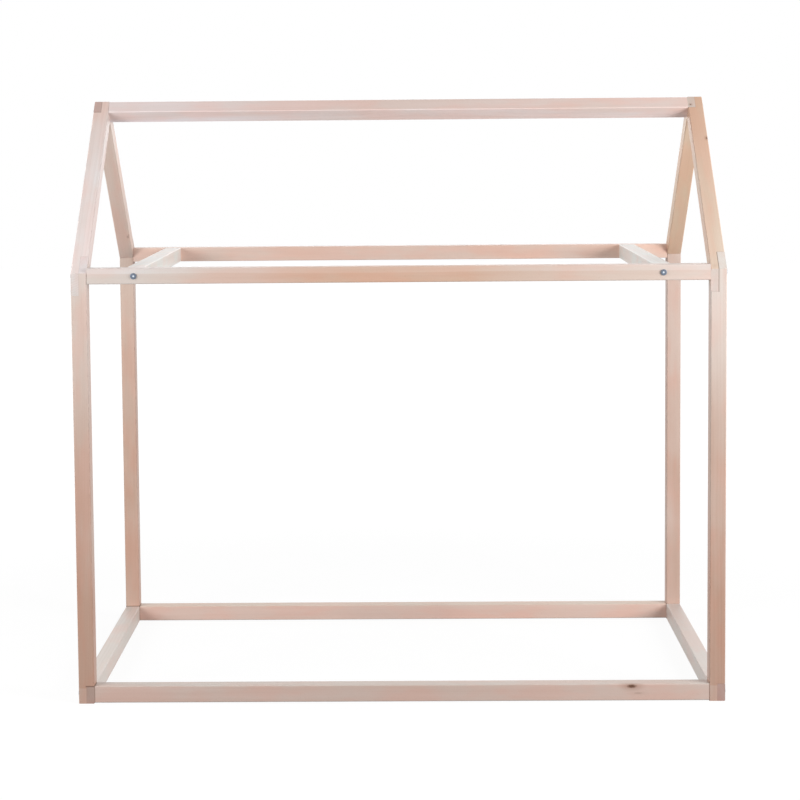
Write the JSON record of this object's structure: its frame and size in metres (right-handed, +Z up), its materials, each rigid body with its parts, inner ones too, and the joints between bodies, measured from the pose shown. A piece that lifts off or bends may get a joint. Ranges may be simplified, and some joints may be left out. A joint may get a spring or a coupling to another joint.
{
  "type": "house frame bed",
  "caption": "House-shaped bed frame of square timber: two half-lapped gable frames joined by floor rails, eave rails, cross ties and a ridge beam turned on edge, all screwed together.",
  "frame": {"origin": "on the floor under the middle of the bed", "axes": "+X along the bed, to the right as seen from the front; the front is towards -Y; +Z up"},
  "size_m": [1.4828, 0.7868, 1.38],
  "materials": {
    "post_wood": "planed and sanded, unfinished",
    "rafter_wood": "planed and sanded, unfinished",
    "floor_rail_wood": "planed and sanded, unfinished",
    "eave_rail_wood": "planed and sanded, unfinished",
    "ridge_wood": "planed and sanded, unfinished",
    "tie_wood": "planed and sanded, unfinished",
    "screw_steel": "dark blue passivated",
    "dowel_wood": "turned, fluting left out"
  },
  "bodies": {
    "root": {"front_left_post": "post_wood", "back_left_post": "post_wood", "front_right_post": "post_wood", "back_right_post": "post_wood", "front_left_rafter": "rafter_wood", "back_left_rafter": "rafter_wood", "front_right_rafter": "rafter_wood", "back_right_rafter": "rafter_wood", "left_side_rail": "floor_rail_wood", "right_side_rail": "floor_rail_wood", "front_bottom_rail": "floor_rail_wood", "back_bottom_rail": "floor_rail_wood", "front_eave_rail": "eave_rail_wood", "back_eave_rail": "eave_rail_wood", "ridge_beam": "ridge_wood", "left_cross_tie": "tie_wood", "right_cross_tie": "tie_wood", "ridge_screws": "screw_steel", "eave_screws": "screw_steel", "foot_screws": "screw_steel", "tie_screws": "screw_steel", "ridge_dowels": "dowel_wood", "foot_dowels": "dowel_wood"}
  },
  "joints": []
}
